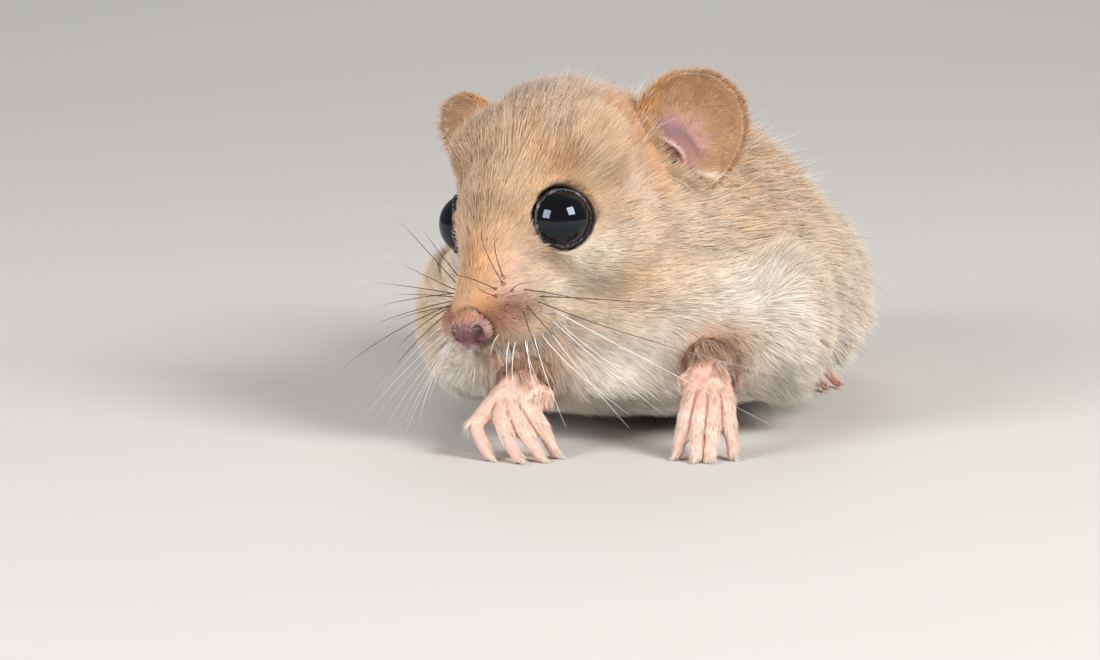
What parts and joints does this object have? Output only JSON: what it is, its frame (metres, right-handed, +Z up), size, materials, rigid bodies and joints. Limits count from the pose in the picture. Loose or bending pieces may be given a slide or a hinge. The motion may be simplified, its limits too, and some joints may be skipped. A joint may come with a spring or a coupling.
{
  "type": "dormouse",
  "caption": "Hazel dormouse crouching on all fours, forepaws out in front and head turned to its right, with a bushy tail lying behind it; a still, life-size model.",
  "frame": {"origin": "on the floor under the middle of the animal's bounding box, with the tail counted in", "axes": "+X towards the animal's left flank, +Y from its forepaws back along its tail, +Z up from the floor"},
  "size_m": [0.0408, 0.1174, 0.0304],
  "materials": {
    "coat": "soft golden fur",
    "ear": "thin skin with short hair",
    "paw": "pink skin with thin pale hair",
    "nose": "moist bare skin",
    "eye": "wet and glossy"
  },
  "bodies": {
    "root": {"head": "coat", "neck": "coat", "torso": "coat", "foreleg_left": "coat", "foreleg_right": "coat", "hindleg_left": "coat", "hindleg_right": "coat", "tail_base": "coat", "tail_middle": "coat", "tail_tip": "coat", "ear_left": "ear", "ear_right": "ear", "eye_left": "eye", "eye_right": "eye", "nose": "nose", "forepaw_left": "paw", "forepaw_right": "paw", "hindfoot_left": "paw", "hindfoot_right": "paw"}
  },
  "joints": []
}
